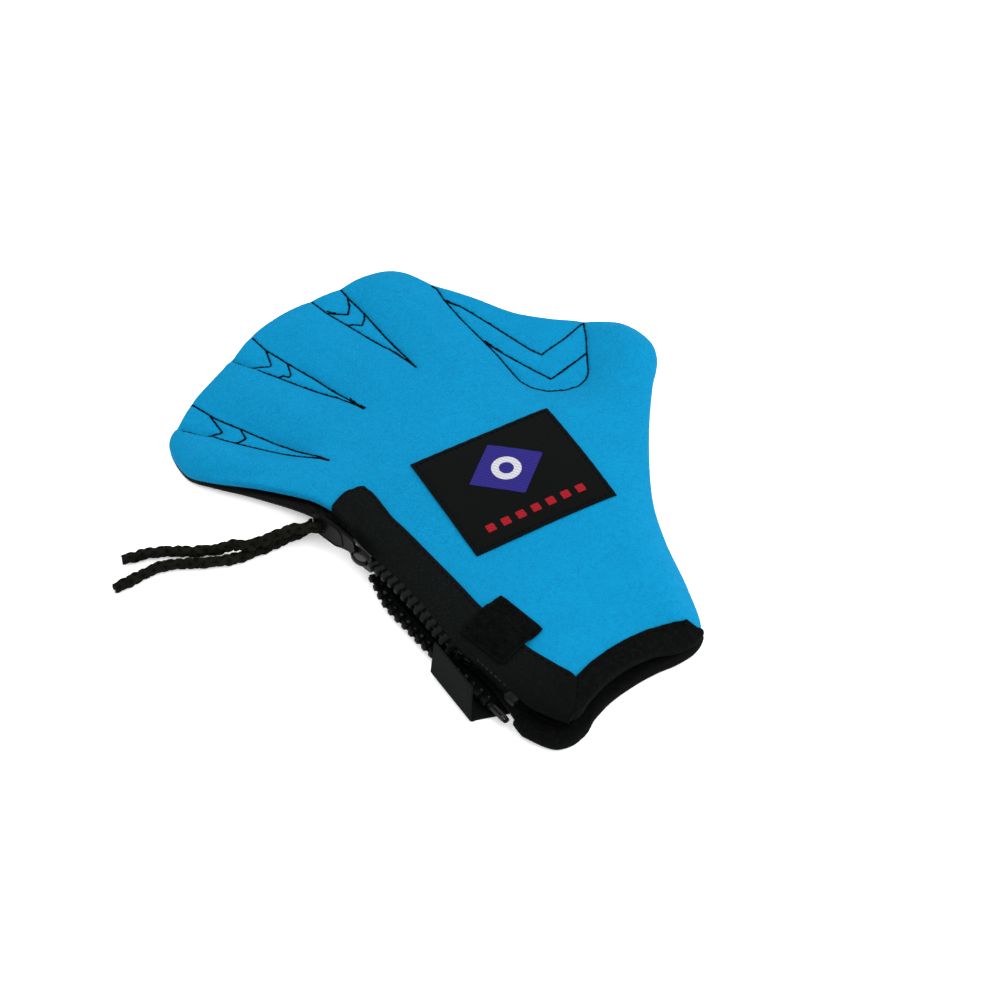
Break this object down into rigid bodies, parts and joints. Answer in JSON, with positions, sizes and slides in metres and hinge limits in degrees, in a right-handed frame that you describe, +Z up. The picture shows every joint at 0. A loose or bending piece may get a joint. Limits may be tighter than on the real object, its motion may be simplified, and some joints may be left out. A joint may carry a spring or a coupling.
{
  "type": "webbed swim glove",
  "caption": "Left hand webbed neoprene swim glove, palm down, with webs sewn flat between fingers and thumb, a side wrist zip half open, a pull cord and a hook strap",
  "frame": {"origin": "floor point under the middle of the glove, its cord left aside", "axes": "+Y toward the fingertips, +X toward the thumb, +Z up off the palm"},
  "size_m": [0.2569, 0.261, 0.0201],
  "materials": {
    "blue_neoprene": "matte nylon jersey bonded on neoprene, bright blue",
    "black_neoprene": "dull black neoprene with a fine dimpled mesh emboss",
    "black_jersey": "soft matte black stretch binding",
    "black_tape": "ribbed woven tape, charcoal",
    "moulded_teeth": "moulded plastic with a slight sheen, black",
    "slider_metal": "semi-gloss black enamel",
    "cord_braid": "black braided cord",
    "hook_tape": "smooth woven back of hook tape, dark grey",
    "loop_pile": "fuzzy black loop pile",
    "woven_label": null
  },
  "bodies": {
    "root": {"back_panel": "blue_neoprene", "palm_panel": "black_neoprene", "wrist_binding": "black_jersey", "zipper_tape_upper": "black_tape", "zipper_tape_lower": "black_tape", "zipper_teeth_upper": "moulded_teeth", "zipper_teeth_lower": "moulded_teeth", "stop_upper": "moulded_teeth", "stop_lower": "moulded_teeth", "zipper_slider": "slider_metal", "puller_tab": "slider_metal", "pull_cord_a": "cord_braid", "pull_cord_b": "cord_braid", "hook_strap": "hook_tape", "loop_patch": "loop_pile", "label_patch": "woven_label"}
  },
  "joints": []
}
